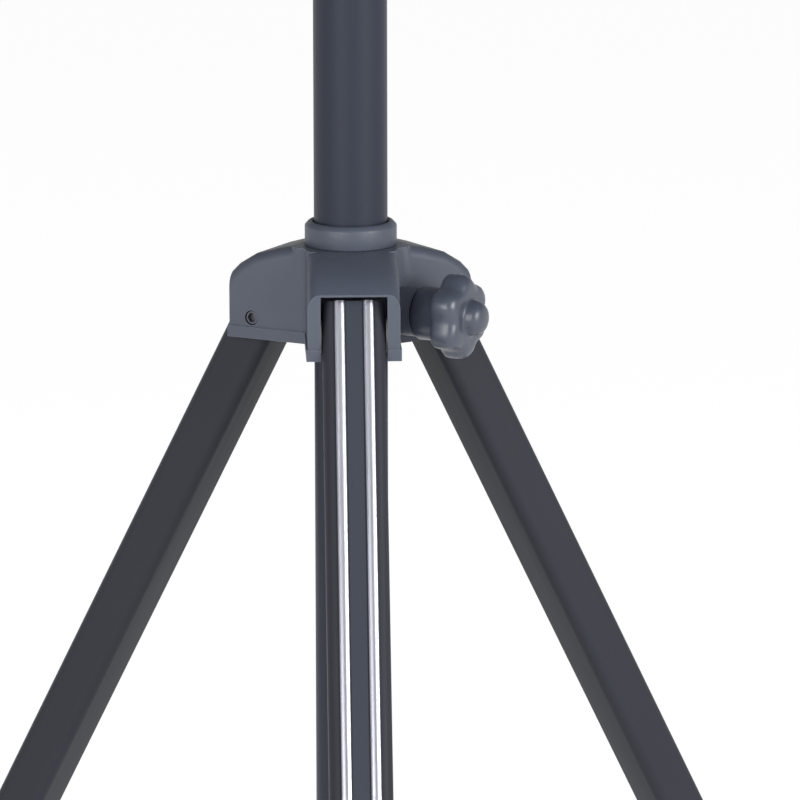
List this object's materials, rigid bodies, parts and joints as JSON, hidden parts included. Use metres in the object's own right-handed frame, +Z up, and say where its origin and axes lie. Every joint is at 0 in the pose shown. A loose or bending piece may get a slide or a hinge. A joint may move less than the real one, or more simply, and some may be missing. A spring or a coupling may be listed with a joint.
{
  "type": "tripod hunting stand",
  "caption": "Folding tripod stand with telescopic legs, a sliding centre column clamped by a lobed knob, and a swivelling V-shaped rest.",
  "frame": {"origin": "on the centre column's axis at floor level, with the legs spread", "axes": "+Z up along the column; the front leg points along -Y; +X to the right of it"},
  "size_m": [0.5726, 0.4994, 0.7973],
  "materials": {
    "cast_alloy": "die-cast, grey textured paint",
    "knob_grey": "moulded, satin",
    "dark_tube": "drawn tube, dark satin anodise",
    "leg_extrusion": "extruded, dark anodise, bright ribs",
    "lower_extrusion": "extruded, natural satin anodise",
    "moulded_black": "moulded, fine grain",
    "nylon": "natural nylon",
    "rubber": "moulded, matt",
    "zinc_steel": "zinc plated",
    "dark_steel": "black oxide"
  },
  "bodies": {
    "hub": {"hub": "cast_alloy", "column_collar": "cast_alloy", "pivot_pin_front": "dark_steel", "pivot_pin_right": "dark_steel", "pivot_pin_left": "dark_steel", "pivot_washers_front": "nylon", "pivot_washers_right": "nylon", "pivot_washers_left": "nylon"},
    "bushing": {"column_bushing": "nylon"},
    "column": {"column_tube": "dark_tube", "column_end_cap": "moulded_black", "column_top_cap": "zinc_steel", "rest_washer": "nylon", "rest_nut": "zinc_steel"},
    "rest": {"rest_yoke": "moulded_black", "rest_liner": "rubber"},
    "clamp_shoe": {"clamp_shoe": "nylon"},
    "clamp_knob": {"clamp_knob": "knob_grey", "clamp_stud": "zinc_steel"},
    "leg_front": {"upper_leg_front": "leg_extrusion", "leg_head_front": "moulded_black", "lock_housing_front": "moulded_black", "lock_lever_pin_front": "zinc_steel", "brake_pad_front": "nylon"},
    "lower_leg_front": {"lower_leg_front": "lower_extrusion", "lower_leg_glide_front": "nylon", "rubber_foot_front": "rubber"},
    "lock_lever_front": {"lock_lever_front": "moulded_black"},
    "leg_right": {"upper_leg_right": "leg_extrusion", "leg_head_right": "moulded_black", "lock_housing_right": "moulded_black", "lock_lever_pin_right": "zinc_steel", "brake_pad_right": "nylon"},
    "lower_leg_right": {"lower_leg_right": "lower_extrusion", "lower_leg_glide_right": "nylon", "rubber_foot_right": "rubber"},
    "lock_lever_right": {"lock_lever_right": "moulded_black"},
    "leg_left": {"upper_leg_left": "leg_extrusion", "leg_head_left": "moulded_black", "lock_housing_left": "moulded_black", "lock_lever_pin_left": "zinc_steel", "brake_pad_left": "nylon"},
    "lower_leg_left": {"lower_leg_left": "lower_extrusion", "lower_leg_glide_left": "nylon", "rubber_foot_left": "rubber"},
    "lock_lever_left": {"lock_lever_left": "moulded_black"}
  },
  "joints": [
    {"name": "column_turn", "type": "hinge", "parent": "hub", "child": "bushing", "pos_m": [0, 0, 0.55626], "axis": [0, 0, 1], "continuous": true},
    {"name": "column_slide", "type": "slide", "parent": "bushing", "child": "column", "axis": [0, 0, 1], "range_m": [-0.151, 0.246]},
    {"name": "rest_swivel", "type": "hinge", "parent": "column", "child": "rest", "pos_m": [0, 0, 0.73531], "axis": [0, 0, 1], "continuous": true},
    {"name": "clamp_feed", "type": "slide", "parent": "hub", "child": "clamp_shoe", "axis": [0.866, -0.5, 0], "range_m": [0, 0.002]},
    {"name": "clamp_turn", "type": "hinge", "parent": "clamp_shoe", "child": "clamp_knob", "pos_m": [0.03464, -0.02, 0.55136], "axis": [0.866, -0.5, 0], "range_deg": [0, 720]},
    {"name": "leg_fold_front", "type": "hinge", "parent": "hub", "child": "leg_front", "pos_m": [0, -0.0294, 0.54716], "axis": [1, 0, 0], "range_deg": [0, 28.05]},
    {"name": "leg_slide_front", "type": "slide", "parent": "leg_front", "child": "lower_leg_front", "axis": [0, -0.4702, -0.8825], "range_m": [-0.13, 0.12]},
    {"name": "lock_flip_front", "type": "hinge", "parent": "leg_front", "child": "lock_lever_front", "pos_m": [0, -0.24185, 0.18162], "axis": [1, 0, 0], "range_deg": [0, 110]},
    {"name": "leg_fold_right", "type": "hinge", "parent": "hub", "child": "leg_right", "pos_m": [0.02546, 0.0147, 0.54716], "axis": [-0.5, 0.866, 0], "range_deg": [0, 28.05]},
    {"name": "leg_slide_right", "type": "slide", "parent": "leg_right", "child": "lower_leg_right", "axis": [0.4072, 0.2351, -0.8825], "range_m": [-0.13, 0.12]},
    {"name": "lock_flip_right", "type": "hinge", "parent": "leg_right", "child": "lock_lever_right", "pos_m": [0.20944, 0.12092, 0.18162], "axis": [-0.5, 0.866, 0], "range_deg": [0, 110]},
    {"name": "leg_fold_left", "type": "hinge", "parent": "hub", "child": "leg_left", "pos_m": [-0.02546, 0.0147, 0.54716], "axis": [-0.5, -0.866, 0], "range_deg": [0, 28.05]},
    {"name": "leg_slide_left", "type": "slide", "parent": "leg_left", "child": "lower_leg_left", "axis": [-0.4072, 0.2351, -0.8825], "range_m": [-0.13, 0.12]},
    {"name": "lock_flip_left", "type": "hinge", "parent": "leg_left", "child": "lock_lever_left", "pos_m": [-0.20944, 0.12092, 0.18162], "axis": [-0.5, -0.866, 0], "range_deg": [0, 110]}
  ],
  "couplings": [
    {"joint": "clamp_feed", "follows": "clamp_turn", "m_per_rad": 0.00015915}
  ]
}
